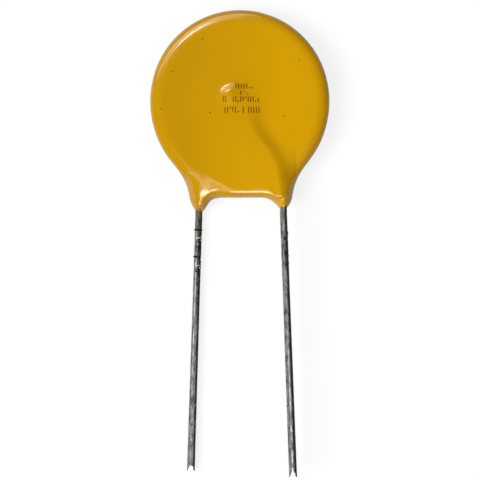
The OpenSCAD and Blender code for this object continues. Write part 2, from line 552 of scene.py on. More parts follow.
@dataclass(frozen=True)
class LacquerSkin:
    """The dipped coating: rounded disc, sagged skirt, web, legs, and a relief over each wire.

    Spans across run out from the leads' middle line, and spans down run below the disc's middle.
    """

    plan: DiscPlan
    runs: dict[Side, BuriedRun]
    name: str = "lacquer_skin"

    # Faces and rim
    face_half: float = 1.75  # half thickness at the faces
    least_half: float = 0.2  # and the least anywhere
    rim_in: float = 1.7  # how far in from the outline the rim's rounding starts
    web_in: float = 0.98  # the same along the web's lower edge
    leg_in: float = 0.85  # the same on the legs
    crotch_in: float = 0.22  # what is added halfway between web and leg
    tighten: Span = (8.5, 10.2)  # span down in which the rounding tightens to those
    rim_down: float = 1.1  # how far below the face the rounding ends
    least_up: float = 0.06  # least height of the straight edge under it

    # Outline
    sag_r: float = 10.45  # radius of the sagged lower outline
    sag_drop: float = 0.7  # how far its centre lies below the disc's
    sag_reach: float = 0.3  # how broadly it meets the disc
    web_top: float = -6.0
    web_foot: float = -11.56
    web_half_w: float = 4.3
    flare_span: Span = (3.0, 6.3)  # span across in which the web's meeting with the disc broadens
    bridge_reach: float = 0.5  # how broadly they meet between the legs
    flare_reach: float = 4.2  # and outside them
    crotch_reach: float = 1.8  # how broadly the web meets the legs
    leg_top: float = -9.0
    leg_tips: dict[Side, float] = field(
        default_factory=lambda: {Side.FRONT: -12.75, Side.REAR: -13.15}
    )
    leg_slants: dict[Side, float] = field(
        default_factory=lambda: {Side.FRONT: 0.0, Side.REAR: 0.3}
    )

    # Faces of the web and the legs
    span_top: Span = (2.8, 4.5)  # span across in which the web turns into a leg, at the top
    span_foot: Span = (0.6, 4.1)  # and at the foot
    span_soft: float = 0.35  # share of that span which each rounded end takes
    crotch_span: Span = (9.2, 10.8)  # span down from the first to the second
    web_fall: float = 0.08  # share of a leg's fall that the web takes part in
    bow_from: float = 4.3  # how far out the faces start to bow
    bow_reach: float = 2.2  # over how broad a strip
    leg_bow: float = 0.22  # how strongly, on the face away from a leg's wire
    shoulder_bow: float = 0.06  # and on the face over it
    shoulder_span: Span = (4.0, 8.5)  # span down in which the second starts
    nub_heights: dict[Side, float] = field(
        default_factory=lambda: {Side.FRONT: 0.36, Side.REAR: 0.30}
    )

    # Least coat round each buried wire
    cover_r: float = 0.465
    cover_end: float = 0.1  # how far short of the leg's tip it ends
    cover_reach: float = 0.15  # how broadly it meets the rest

    # Grid that the skin is meshed on
    grid_step: float = 0.12
    grid_margin: float = 0.5
    grid_depth: float = 2.9

    @property
    def sleeves(self) -> dict[Side, LegSleeve]:
        """The sleeve on each lead."""
        tips, slants = self.leg_tips, self.leg_slants
        return {side: LegSleeve(self.runs[side], tips[side], slants[side]) for side in Side}

    @property
    def reliefs(self) -> dict[Side, WireRelief]:
        """The relief over each wire."""
        return {side: WireRelief(self.runs[side], self.nub_heights[side]) for side in Side}

    def sideways(self, x: np.ndarray) -> np.ndarray:
        """Distance from the leads' middle line, positive towards the front one."""
        return x - self.runs[Side.FRONT].pair_shift

    def outline(self, x: np.ndarray, y: np.ndarray) -> np.ndarray:
        """Distance to the body's outline, seen square on.

        Args:
            x: Points across the disc.
            y: Points up the disc.

        Returns:
            Distance, negative inside.
        """
        rim = np.hypot(x, y) - self.plan.coat_r
        sagged = np.hypot(x, y + self.sag_drop) - self.sag_r
        disc = smooth_min(rim, sagged, self.sag_reach)
        dx = np.abs(self.sideways(x)) - self.web_half_w
        middle, half = (self.web_top + self.web_foot) / 2.0, (self.web_top - self.web_foot) / 2.0
        dy = np.abs(y - middle) - half
        web = np.hypot(np.maximum(dx, 0), np.maximum(dy, 0)) + np.minimum(np.maximum(dx, dy), 0)
        outward = smooth_step(*self.flare_span, np.abs(self.sideways(x)))
        reach = self.bridge_reach + (self.flare_reach - self.bridge_reach) * outward
        body = smooth_min(disc, web, reach)
        legs = [sleeve.outline(x, y, self.leg_top) for sleeve in self.sleeves.values()]
        return smooth_min(body, np.minimum(*legs), self.crotch_reach)

    def near_leg(self, x: np.ndarray, y: np.ndarray) -> np.ndarray:
        """How far points belong to a leg, 1, and not to the web between the legs, 0.

        Args:
            x: Points across the disc.
            y: Points up the disc.

        Returns:
            The share at each point.
        """
        lower = smooth_step(*self.crotch_span, -y)
        near, far = (a + (b - a) * lower for a, b in zip(self.span_top, self.span_foot))
        return soft_ramp(near, far, self.span_soft, np.abs(self.sideways(x)))

    def thickness(self, x: np.ndarray, y: np.ndarray) -> tuple[np.ndarray, np.ndarray]:
        """How far the two faces lie from the disc's middle plane, without the reliefs.

        Args:
            x: Points across the disc.
            y: Points up the disc.

        Returns:
            Height of the front face, and how far below the middle plane the rear face lies.
        """
        near = self.near_leg(x, y)
        own_share = self.web_fall + (1.0 - self.web_fall) * near
        other_share = self.web_fall * (1.0 - near)
        right = self.sideways(x) > 0.0
        beyond = np.clip(np.abs(self.sideways(x)) - self.bow_from, 0.0, self.bow_reach)
        bowed = near * (self.leg_bow * beyond**2 * smooth_step(*self.tighten, -y))
        shoulder = self.shoulder_bow * beyond**2 * smooth_step(*self.shoulder_span, -y)
        fall = {side: self.sleeves[side].fall(y, self.face_half) for side in Side}
        front = self.face_half - fall[Side.REAR] * np.where(right, other_share, own_share)
        rear = self.face_half - fall[Side.FRONT] * np.where(right, own_share, other_share)
        return front - np.where(right, shoulder, bowed), rear - np.where(right, bowed, shoulder)

    def wire_cover(self, side: Side, x: np.ndarray, y: np.ndarray, z: np.ndarray) -> np.ndarray:
        """Distance to the least coat round one buried wire.

        Args:
            side: The face that the wire is soldered to.
            x: Points across the disc.
            y: Points up the disc.
            z: Points out of the front face.

        Returns:
            Distance, negative inside.
        """
        run = self.runs[side]
        across, along = run.across_and_along(x, y)
        beside = np.hypot(across, z - run.height) - self.cover_r
        past = np.maximum(-along, self.leg_tips[side] + self.cover_end - y)
        return np.maximum(beside, past)

    def rounding(self, x: np.ndarray, y: np.ndarray) -> np.ndarray:
        """How far in from the outline the rim's rounding starts.

        Args:
            x: Points across the disc.
            y: Points up the disc.

        Returns:
            The distance in at each point.
        """
        near = self.near_leg(x, y)
        lower_in = self.web_in + (self.leg_in - self.web_in) * near
        lower_in = lower_in + self.crotch_in * 4.0 * near * (1.0 - near)
        return self.rim_in + (lower_in - self.rim_in) * smooth_step(*self.tighten, -y)

    def field(self, x: np.ndarray, y: np.ndarray, z: np.ndarray) -> np.ndarray:
        """Field of the whole coating.

        Args:
            x: Points across the disc.
            y: Points up the disc.
            z: Points out of the front face.

        Returns:
            Field, negative inside.
        """
        front, rear = self.thickness(x, y)
        middle = (front - rear) / 2.0
        raised = {
            side: self.reliefs[side].height(x, y) * self.sleeves[side].ridge_share(y)
            for side in Side
        }
        half = (front + rear) / 2.0 + np.where(z > middle, raised[Side.FRONT], raised[Side.REAR])
        half = np.maximum(half, self.least_half)
        down = np.minimum(self.rim_down, half - self.least_up)
        rim_in = self.rounding(x, y)
        squash = down / np.minimum(rim_in, half * rim_in / self.rim_down)
        out = self.outline(x, y) * squash + down
        up = np.abs(z - middle) - (half - down)
        corner = np.hypot(np.maximum(out, 0.0), np.maximum(up, 0.0))
        body = corner + np.minimum(np.maximum(out, up), 0.0) - down
        covers = [self.wire_cover(side, x, y, z) for side in Side]
        return smooth_min(body, np.minimum(*covers), self.cover_reach)

    def build(self, finish: bpy.types.Material) -> bpy.types.Object:
        """Mesh the coating, set it in the model's frame and dress it.

        Args:
            finish: The lacquer's material.

        Returns:
            The coating's object.
        """
        reach = self.plan.coat_r + self.grid_margin
        foot = min(self.leg_tips.values()) - self.grid_margin
        low, high = (-reach, foot, -self.grid_depth), (reach, reach, self.grid_depth)
        points, quads = SurfaceNet(low, high, self.grid_step).build(self.field)
        skin = mesh_object(self.name, self.plan.to_frame(points), quads)
        skin.data.materials.append(finish)
        return skin


# ---- Node trees ----


@dataclass
class TreeSketch:
    """Lays out a node tree: adds nodes, sets them, and joins their sockets."""

    tree: bpy.types.NodeTree

    def add(self, kind: str, inputs: dict[str | int, Any] | None = None, **settings: Any) -> Any:
        """Add a node.

        Args:
            kind: Blender's name for the node.
            inputs: Values, or sockets to link from, by input name or number.
            settings: The node's own properties.

        Returns:
            The node.
        """
        node = self.tree.nodes.new(kind)
        for name, value in settings.items():
            setattr(node, name, value)
        for key, value in (inputs or {}).items():
            self.put(node.inputs[key], value)
        return node

    def take(
        self, kind: str, inputs: dict[str | int, Any] | None = None, output: str | int = 0,
        **settings: Any,
    ) -> Any:
        """Add a node and take one of its outputs.

        Args:
            kind: Blender's name for the node.
            inputs: Values, or sockets to link from, by input name or number.
            output: Name or number of the output.
            settings: The node's own properties.

        Returns:
            The output's socket.
        """
        return self.add(kind, inputs, **settings).outputs[output]

    def put(self, socket: Any, value: Any) -> None:
        """Link a socket from another one, or set its own value.

        Args:
            socket: The input.
            value: A number, colour or vector, or the socket to link from.
        """
        if isinstance(value, bpy.types.NodeSocket):
            self.tree.links.new(value, socket)
        else:
            socket.default_value = value

    def math(self, operation: str, *values: Any) -> Any:
        """Output of a Math node on numbers or sockets."""
        return self.take("ShaderNodeMath", dict(enumerate(values)), operation=operation)

    def product(self, first: Any, *others: Any) -> Any:
        """Multiply numbers.

        Args:
            first: A number or socket.
            others: Those that it is multiplied by, in turn.

        Returns:
            The product's socket.
        """
        for other in others:
            first = self.math("MULTIPLY", first, other)
        return first

    def apart(self, first: Any, second: Any) -> Any:
        """How far two numbers lie apart."""
        return self.math("ABSOLUTE", self.math("SUBTRACT", first, second))

    def vector(self, operation: str, *values: Any, output: str = "Vector") -> Any:
        """Output of a Vector Math node on vectors or sockets."""
        inputs = dict(enumerate(values))
        return self.take("ShaderNodeVectorMath", inputs, output, operation=operation)

    def scaled(self, vector: Any, scale: Any) -> Any:
        """A vector times a number."""
        inputs = {0: vector, "Scale": scale}
        return self.take("ShaderNodeVectorMath", inputs, operation="SCALE")

    def split(self, vector: Any) -> Any:
        """The three components of a vector."""
        return self.add("ShaderNodeSeparateXYZ", {0: vector}).outputs

    def joined(self, *values: Any) -> Any:
        """A vector of up to three components."""
        return self.take("ShaderNodeCombineXYZ", dict(enumerate(values)))

    def between(self, value: Any, span: Sequence[Any], onto: Sequence[Any] = (0.0, 1.0)) -> Any:
        """Map a value from one range onto another, held at its ends."""
        return self.take("ShaderNodeMapRange", dict(enumerate((value, *span, *onto))), clamp=True)


RANDOM_OUTPUTS: dict[str, int] = {"FLOAT_VECTOR": 0, "FLOAT": 1, "BOOLEAN": 3}
SOCKET_KINDS: dict[type, str] = {
    float: "NodeSocketFloat",
    int: "NodeSocketInt",
    tuple: "NodeSocketVector",
    bpy.types.Object: "NodeSocketObject",
    bpy.types.Material: "NodeSocketMaterial",
}


@dataclass
class GeometrySketch(TreeSketch):
    """A Geometry Nodes tree that is used once and then turned into a plain mesh."""

    values: dict[str, Any] = field(default_factory=dict)
    keys: dict[str, str] = field(default_factory=dict)
    entry: Any = None

    @classmethod
    def start(cls, name: str, values: dict[str, Any]) -> GeometrySketch:
        """Begin a tree.

        Args:
            name: Name of the tree.
            values: Value of each named input, whose type gives the input's.

        Returns:
            The sketch, with the tree's inputs made.
        """
        tree = bpy.data.node_groups.new(name, "GeometryNodeTree")
        tree.is_modifier = True
        new_socket = tree.interface.new_socket
        for way in ("INPUT", "OUTPUT"):
            new_socket(name="Geometry", in_out=way, socket_type="NodeSocketGeometry")
        keys = {}
        for label, value in values.items():
            made = new_socket(name=label, in_out="INPUT", socket_type=SOCKET_KINDS[type(value)])
            keys[label] = made.identifier
        sketch = cls(tree, values, keys)
        sketch.entry = sketch.add("NodeGroupInput")
        return sketch

    def __getitem__(self, label: str) -> Any:
        """Output socket of one of the tree's own inputs."""
        return self.entry.outputs[label]

    def place(self) -> Any:
        """Where each element lies."""
        return self.take("GeometryNodeInputPosition")

    def normal(self) -> Any:
        """Which way each element faces."""
        return self.take("GeometryNodeInputNormal")

    def line(self) -> Any:
        """The edges that the tree is given, as curves."""
        return self.take("GeometryNodeMeshToCurve", {"Mesh": self["Geometry"]})

    def swept(self, sides: Any, radius: Any) -> Any:
        """Sweep a round section along those curves.

        Args:
            sides: Number of the section's sides.
            radius: Its radius.

        Returns:
            The closed tube.
        """
        ring = self.take("GeometryNodeCurvePrimitiveCircle", {"Resolution": sides, "Radius": radius})
        inputs = {"Curve": self.line(), "Profile Curve": ring, "Fill Caps": True}
        return self.take("GeometryNodeCurveToMesh", inputs)

    def moved(self, geometry: Any, **inputs: Any) -> Any:
        """Geometry set to another Position or moved by an Offset."""
        return self.take("GeometryNodeSetPosition", {"Geometry": geometry, **inputs})

    def stored(self, geometry: Any, name: str, kind: str, value: Any) -> Any:
        """Geometry with a value kept on it under a name."""
        inputs = {"Geometry": geometry, "Name": name, "Value": value}
        return self.take("GeometryNodeStoreNamedAttribute", inputs, data_type=kind)

    def surface_of(self, label: str) -> Any:
        """Geometry of the piece that one of the tree's inputs names."""
        return self.take("GeometryNodeObjectInfo", {"Object": self[label]}, "Geometry")

    def random(self, kind: str, inputs: dict[str | int, Any]) -> Any:
        """A value drawn for each element from the tree's own seed."""
        inputs = {**inputs, "Seed": self["Seed"]}
        return self.take("FunctionNodeRandomValue", inputs, RANDOM_OUTPUTS[kind], data_type=kind)

    def close(self, geometry: Any, smooth: bool = True) -> None:
        """End the tree in Realize Instances and Set Material.

        Args:
            geometry: What the tree has made.
            smooth: Whether it is shaded smooth.
        """
        real = self.take("GeometryNodeRealizeInstances", {"Geometry": geometry})
        inputs = {"Geometry": real, "Shade Smooth": smooth}
        shaded = self.take("GeometryNodeSetShadeSmooth", inputs)
        inputs = {"Geometry": shaded, "Material": self["Finish"]}
        self.add("NodeGroupOutput", {0: self.take("GeometryNodeSetMaterial", inputs)})

    def run(self, name: str, base: bpy.types.Mesh) -> bpy.types.Object:
        """Run the tree on a mesh and keep the result as a plain mesh.

        Args:
            name: Name of the finished piece.
            base: Mesh that the tree starts from.

        Returns:
            The finished object, at the origin, with no modifier.
        """
        carrier = linked(name + "_base", base)
        modifier = carrier.modifiers.new("build", "NODES")
        modifier.node_group = self.tree
        for label, value in self.values.items():
            modifier[self.keys[label]] = value
        graph = bpy.context.evaluated_depsgraph_get()
        made = bpy.data.meshes.new_from_object(carrier.evaluated_get(graph), depsgraph=graph)
        made.name = name
        carrier.modifiers.clear()
        bpy.data.objects.remove(carrier)
        return linked(name, made)


@dataclass
class ShaderSketch(TreeSketch):
    """A material whose pattern reads the object's own coordinates."""

    material: Any = None
    surface: Any = None

    @classmethod
    def start(cls, name: str) -> ShaderSketch:
        """Begin a material with a Principled surface.

        Args:
            name: Name of the material.

        Returns:
            The sketch, with its surface joined to the output.
        """
        material = bpy.data.materials.new(name)
        material.use_nodes = True
        material.node_tree.nodes.clear()
        sketch = cls(material.node_tree, material)
        sketch.surface = sketch.add("ShaderNodeBsdfPrincipled")
        sketch.add("ShaderNodeOutputMaterial", {"Surface": sketch.surface.outputs[0]})
        return sketch

    def place(self) -> Any:
        """Where a point lies, in the object's own coordinates."""
        return self.take("ShaderNodeTexCoord", output="Object")

    def kept(self, name: str, output: str) -> Any:
        """What the mesh keeps under a name."""
        return self.take("ShaderNodeAttribute", output=output, attribute_name=name)

    def noise(self, scale: Sequence[float], detail: float, rough: float = 0.5) -> Any:
        """Add a noise.

        Args:
            scale: Features to the metre along each axis.
            detail: How many finer noises it holds.
            rough: How strong those are.

        Returns:
            The noise, from 0 to 1.
        """
        place = self.take("ShaderNodeMapping", {"Vector": self.place(), "Scale": tuple(scale)})
        inputs = {"Vector": place, "Scale": 1.0, "Detail": detail, "Roughness": rough}
        return self.take("ShaderNodeTexNoise", inputs, "Fac")

    def mix(self, share: Any, first: Any, second: Any) -> Any:
        """Mix two colours."""
        return self.take("ShaderNodeMix", {0: share, 6: first, 7: second}, 2, data_type="RGBA")

    def bump(self, height: Any, distance: float, strength: float) -> None:
        """Give the surface a relief of a certain distance in metres."""
        inputs = {"Height": height, "Distance": distance, "Strength": strength}
        self.put(self.surface.inputs["Normal"], self.take("ShaderNodeBump", inputs))

    def paint(self, colour: Any, roughness: Any, metallic: Any, gloss: float) -> None:
        """Set what the surface looks like.

        Args:
            colour: Its colour.
            roughness: Its roughness.
            metallic: Share of metal in it.
            gloss: Its specular level.
        """
        self.put(self.surface.inputs["Base Color"], colour)
        self.put(self.surface.inputs["Roughness"], roughness)
        self.put(self.surface.inputs["Metallic"], metallic)
        self.surface.inputs["Specular IOR Level"].default_value = gloss


# ---- Finishes ----


NOISE_SPAN: Span = (0.3, 0.7)  # levels that nearly all of a noise lies between


def dimmed(colour: Colour, share: float) -> Colour:
    """A colour brought down to a share of its strength."""
    red, green, blue, _ = colour
    return (red * share, green * share, blue * share, 1.0)


@dataclass(frozen=True)
class LacquerFinish:
    """Glossy dipped lacquer with a faint flow texture, and painted shade that darkens it towards the
    left.
    """

    # The lacquer is painted darker towards the left, as shade: from the second colour on the left to
    # the first on the right.
    pale: Colour = (0.715, 0.364, 0.0004, 1.0)
    deep: Colour = (0.585, 0.297, 0.0005, 1.0)
    turn: Span = (-0.0045, 0.007)  # where the painted shade fades out, from left to right
    cloud: float = 0.004  # how far that wanders
    cloud_grain: float = 160.0  # features to the metre, as with the other grains
    rough: Span = (0.15, 0.23)
    rough_grain: float = 2600.0
    relief: float = 0.00003
    relief_grain: float = 420.0
    relief_strength: float = 0.35
    gloss: float = 0.5
    index: float = 1.5  # refractive index

    def make(self) -> bpy.types.Material:
        """Build the material.

        Returns:
            The material.
        """
        sketch = ShaderSketch.start("dipped_lacquer")
        across, _, _ = sketch.split(sketch.place())
        cloud = sketch.product(sketch.noise((self.cloud_grain,) * 3, detail=2.0), self.cloud)
        # Painted shade: the lacquer darkens towards the left.
        tone = sketch.between(sketch.math("ADD", across, cloud), self.turn)
        grain = sketch.noise((self.rough_grain,) * 3, detail=4.0)
        rough = sketch.between(grain, NOISE_SPAN, self.rough)
        sketch.paint(sketch.mix(tone, self.deep, self.pale), rough, 0.0, self.gloss)
        flow = sketch.noise((self.relief_grain,) * 3, detail=2.0)
        sketch.bump(flow, self.relief, self.relief_strength)
        sketch.surface.inputs["IOR"].default_value = self.index
        return sketch.material


@dataclass(frozen=True)
class TinFinish:
    """Drawn and tinned copper wire, gone dull: streaks, a polished line, and painted shade on its
    right flank.

    Places round the wire run from -1 on the left to 1 on the right. Places along it are heights
    above its tip, in metres.
    """

    name: str
    line_at: float  # where the polished line runs
    line_half: float  # its half width
    line_top: float  # height at which it is clearest
    stain: Span  # heights between which the painted shade reaches further left
    stain_from: float  # how far left the painted shade reaches there
    flank_from: float  # where the painted shade on the right flank starts
    film_from: float = 1.0  # height above which a film of resin covers the wire
    bright: Colour = (0.37, 0.37, 0.36, 1.0)
    dull: Colour = (0.095, 0.095, 0.092, 1.0)
    polished: Colour = (0.85, 0.85, 0.83, 1.0)
    # colour of the painted shade, on the right flank and in the band below the lacquer
    tarnish: Colour = (0.020, 0.020, 0.020, 1.0)
    film: Colour = (0.125, 0.132, 0.065, 1.0)
    bare: Colour = (0.95, 0.95, 0.93, 1.0)  # the sheared end
    streak_grain: tuple[float, ...] = (5200.0, 700.0, 5200.0)  # features to the metre
    patch_grain: tuple[float, ...] = (2600.0, 1300.0, 2600.0)
    line_grain: tuple[float, ...] = (900.0, 700.0, 900.0)
    streak_share: float = 0.55  # weight of the fine streaks against the patches
    wear: Span = (0.43, 0.57)  # levels of both together, from dull to bright
    metal: float = 0.45
    gloss: float = 0.2
    rough: Span = (0.5, 0.34)
    rough_wear: Span = (0.35, 0.65)  # levels of wear that those two stand at
    relief: float = 0.00003
    relief_strength: float = 0.6
    line_core: float = 0.5  # share of the line's half width at full strength
    line_gaps: Span = (0.42, 0.56)  # levels of a noise that breaks the line up
    line_fade: Span = (0.006, 0.016)  # heights from its clearest one in which it fades
    line_least: float = 0.25  # share that is left of it beyond
    upward: Span = (0.28, 0.48)  # how far the surface faces up, from no painted shade to full
    ragged: float = 0.9  # how far patches move the edge of the painted shade
    flank_edge: float = 0.14  # breadth of that edge
    stain_core: float = 0.8  # share of the painted shade band's height at full strength
    stain_gaps: Span = (0.42, 0.55)  # levels of the patches that thin that band out
    stain_least: float = 0.35  # share that is left of it there
    stain_edge: float = 0.25
    stain_reach: Span = (0.006, 0.45)  # height and breadth of the band's spread at its top
    film_edge: Span = (-0.0006, 0.0004)
    film_share: float = 0.6
    cut_edge: Span = (0.0004, 0.00055)  # heights in which the bare end stops
    cut_half: Span = (0.45, 0.6)  # places round the wire between which it does

    def line(self, sketch: ShaderSketch, side: Any, above: Any) -> Any:
        """Where the polished line shows.

        Args:
            sketch: The material being built.
            side: Place round the wire.
            above: Height above the tip.

        Returns:
            The line's share.
        """
        span = (self.line_half * self.line_core, self.line_half)
        line = sketch.between(sketch.apart(side, self.line_at), span, FALLING)
        broken = sketch.between(sketch.noise(self.line_grain, detail=2.0), self.line_gaps)
        far = sketch.apart(above, self.line_top)
        near = sketch.between(far, self.line_fade, (1.0, self.line_least))
        return sketch.product(line, broken, near)

    def flank(self, sketch: ShaderSketch, side: Any, patches: Any) -> Any:
        """Where shade is painted on the right flank, with a ragged edge.

        Args:
            sketch: The material being built.
            side: Place round the wire.
            patches: The patchy noise.

        Returns:
            The painted shade's share.
        """
        ragged = sketch.product(sketch.math("SUBTRACT", patches, 0.5), self.ragged)
        span = (self.flank_from, self.flank_from + self.flank_edge)
        return sketch.between(sketch.math("ADD", side, ragged), span)

    def stained(self, sketch: ShaderSketch, side: Any, above: Any, patches: Any) -> Any:
        """Where the painted shade reaches further left, between two heights below the lacquer.

        Args:
            sketch: The material being built.
            side: Place round the wire.
            above: Height above the tip.
            patches: The patchy noise.

        Returns:
            The stains' share.
        """
        low, high = self.stain
        middle, half = (low + high) / 2, (high - low) / 2
        level = sketch.apart(above, middle)
        stained = sketch.between(level, (half * self.stain_core, half), FALLING)
        mottle = sketch.between(patches, self.stain_gaps, (self.stain_least, 1.0))
        height, breadth = self.stain_reach
        spread = sketch.between(above, (high - height, high), (0.0, breadth))
        span = (self.stain_from, self.stain_from + self.stain_edge)
        reach = sketch.between(sketch.math("ADD", side, spread), span)
        return sketch.product(stained, mottle, reach)

    def cut(self, sketch: ShaderSketch, side: Any, above: Any) -> Any:
        """Where the sheared end shows bare metal.

        Args:
            sketch: The material being built.
            side: Place round the wire.
            above: Height above the tip.

        Returns:
            The bare end's share.
        """
        low = sketch.between(above, self.cut_edge, FALLING)
        inner = sketch.between(sketch.math("ABSOLUTE", side), self.cut_half, FALLING)
        return sketch.product(low, inner)

    def make(self) -> bpy.types.Material:
        """Build the material.

        Returns:
            The material.
        """
        sketch = ShaderSketch.start(self.name)
        side, _, up = sketch.split(sketch.kept("girth", "Vector"))
        above = sketch.kept("above_tip", "Fac")
        streaks = sketch.noise(self.streak_grain, detail=4.0, rough=0.65)
        patches = sketch.noise(self.patch_grain, detail=3.0)
        fine = sketch.product(streaks, self.streak_share)
        wear = sketch.math("ADD", fine, sketch.product(patches, 1.0 - self.streak_share))
        colour = sketch.mix(sketch.between(wear, self.wear), self.dull, self.bright)
        colour = sketch.mix(self.line(sketch, side, above), colour, self.polished)
        film_span = tuple(self.film_from + edge for edge in self.film_edge)
        film = sketch.between(above, film_span, (0.0, self.film_share))
        colour = sketch.mix(film, colour, self.film)
        # Painted shade: the right flank, and a wider band below the lacquer, darkened where the wire
        # faces up.
        stained = self.stained(sketch, side, above, patches)
        dark = sketch.math("MAXIMUM", self.flank(sketch, side, patches), stained)
        dark = sketch.product(dark, sketch.between(up, self.upward))
        colour = sketch.mix(dark, colour, self.tarnish)
        metal = sketch.product(sketch.math("SUBTRACT", 1.0, dark), self.metal)
        cut = self.cut(sketch, side, above)
        rough = sketch.between(wear, self.rough_wear, self.rough)
        metal = sketch.math("MAXIMUM", metal, cut)
        sketch.paint(sketch.mix(cut, colour, self.bare), rough, metal, self.gloss)
        sketch.bump(streaks, self.relief, self.relief_strength)
        return sketch.material


@dataclass(frozen=True)
class MattFinish:
    """A plain finish with a fine grain: its colour varies a little and its surface is rough."""

    name: str
    colour: Colour
    roughness: float
    metallic: float = 0.0
    grain: float = 4000.0
    relief: float = 0.00001
    relief_strength: float = 0.5
    gloss: float = 0.5
    shade: float = 0.72  # the darkest of the grain, as a share of the colour
    rough_low: float = 0.85  # the range of the roughness, as shares of it
    rough_high: float = 1.15

    def make(self) -> bpy.types.Material:
        """Build the material.

        Returns:
            The material.
        """
        sketch = ShaderSketch.start(self.name)
        grain = sketch.noise((self.grain,) * 3, detail=3.0)
        tone = sketch.between(grain, NOISE_SPAN)
        colour = sketch.mix(tone, dimmed(self.colour, self.shade), self.colour)
        span = (self.roughness * self.rough_low, min(self.roughness * self.rough_high, 1.0))
        rough = sketch.between(grain, NOISE_SPAN, span)
        sketch.paint(colour, rough, self.metallic, self.gloss)
        sketch.bump(grain, self.relief, self.relief_strength)
        return sketch.material


class Deposit(Enum):
    """What lies on the lacquer and the leads, with its finish."""

    INK = MattFinish("printing_ink", (0.26, 0.080, 0.0005, 1.0), 0.3, gloss=0.1)
    SCORCH = MattFinish("brown_speck", (0.07, 0.028, 0.002, 1.0), 0.4, gloss=0.1)
    SOOT = MattFinish("dark_residue", (0.010, 0.009, 0.008, 1.0), 0.6, gloss=0.1)
    FLUX = MattFinish("pale_residue", (0.75, 0.75, 0.70, 1.0), 0.5)


# ---- Leads ----


@dataclass(frozen=True)
class TinnedLead:
    """One lead as a swept wire: soldered run, bend, leaning straight and sheared tip."""

    plan: DiscPlan
    run: BuriedRun
    spacing: float = 0.12  # of the rings along the wire
    sides: int = 36  # of the wire's section
    waver: float = 0.012  # how far the surface wanders
    waver_grain: float = 900.0  # how often, to the metre
    shear_length: float = 0.55  # length over which the tip is pinched
    shear_left: float = 0.35  # share of its height that is left
    tip_swell: float = 0.05  # how much thicker the wire has grown at its tip
    swell_length: float = 22.0  # over what length
    bend_steps: int = 24  # points along the bend inside the lacquer
    splay_steps: int = 8  # and along the bend that leans the wire outwards

    def path(self) -> np.ndarray:
        """Work out the wire's axis.

        Returns:
            Evenly spaced points in millimetres about the disc's middle.
        """
        run, pin, out = self.run, self.run.pin, self.run.side.value
        slope = run.corner - run.end
        slope = slope / float(np.linalg.norm(slope))
        turn = math.acos(-slope[1])
        tangent = run.bend_r * math.tan(turn / 2.0)
        centre = np.array([run.corner[0] - out * run.bend_r, run.corner[1] - tangent])
        pivot = np.array([run.down_x + out * run.splay_r, run.splay_y])
        corners = [run.end]
        for angle in np.linspace(turn, 0.0, self.bend_steps):
            corners.append(centre + run.bend_r * np.array([out * math.cos(angle), math.sin(angle)]))
        for angle in np.linspace(0.0, run.lean, self.splay_steps):
            corners.append(pivot - run.splay_r * np.array([out * math.cos(angle), math.sin(angle)]))
        corners.append(pin.at_depth(pin.tip_y + self.plan.wire_r * math.sin(run.lean))[:2])
        corners = np.array(corners)
        steps = np.linalg.norm(np.diff(corners, axis=0), axis=1)
        at = np.concatenate([[0.0], np.cumsum(steps)])
        even = np.linspace(0.0, at[-1], int(at[-1] / self.spacing))
        flat = [np.interp(even, at, corners[:, k]) for k in range(2)]
        return np.stack([*flat, np.full(len(even), run.height)], axis=1)

    def tree(self, values: dict[str, Any]) -> GeometrySketch:
        """Tree that sweeps a round section along the wire's axis, swells it and shears its tip.

        Args:
            values: The tree's named inputs.

        Returns:
            The finished tree.
        """
        sketch = GeometrySketch.start("swept_wire", values)
        tube = sketch.swept(sketch["Sides"], sketch["Radius"])
        tube = sketch.stored(tube, "girth", "FLOAT_VECTOR", sketch.normal())
        place = sketch.place()
        above = sketch.math("SUBTRACT", sketch.split(place)[1], sketch["Tip Y"])
        tube = sketch.stored(tube, "above_tip", "FLOAT", above)
        inputs = {"Vector": place, "Scale": sketch["Waver Grain"]}
        ripple = sketch.math("SUBTRACT", sketch.take("ShaderNodeTexNoise", inputs, "Fac"), 0.5)
        near_tip = sketch.between(above, (0.0, sketch["Swell Length"]), FALLING)
        swell = sketch.product(near_tip, sketch["Tip Swell"])
        lift = sketch.math("ADD", sketch.product(ripple, sketch["Waver"]), swell)
        tube = sketch.moved(tube, Offset=sketch.scaled(sketch.normal(), lift))

        x, y, z = sketch.split(sketch.place())
        above = sketch.math("SUBTRACT", y, sketch["Tip Y"])
        pinch = sketch.between(above, (0.0, sketch["Shear Length"]), (sketch["Shear Left"], 1.0))
        over_axis = sketch.math("SUBTRACT", z, sketch["Axis Height"])
        pinched = sketch.math("ADD", sketch["Axis Height"], sketch.product(over_axis, pinch))
        sketch.close(sketch.moved(tube, Position=sketch.joined(x, y, pinched)))
        return sketch

    def build(self, finish: bpy.types.Material) -> bpy.types.Object:
        """Sweep the wire and set it in the model's frame.

        Args:
            finish: The wire's material.

        Returns:
            The lead's object.
        """
        points = self.plan.to_frame(self.path())
        base = line_mesh("wire_axis", points, len(points))
        tree = self.tree({
            "Radius": self.plan.wire_r * MM,
            "Sides": self.sides,
            "Waver": self.waver * MM,
            "Waver Grain": self.waver_grain,
            "Tip Y": float(points[:, 1].min()),
            "Shear Length": self.shear_length * MM,
            "Shear Left": self.shear_left,
            "Tip Swell": self.tip_swell * MM,
            "Swell Length": self.swell_length * MM,
            "Axis Height": float(points[0, 2]),
            "Finish": finish,
        })
        return tree.run(f"{self.run.side.word}_wire", base)


# ---- Print, specks and residue ----


@dataclass(frozen=True)
class PrintRow:
    """One row of the printed block: its middle, its length and the height of its bars."""

    x: float
    y: float
    length: float
    bar_h: float


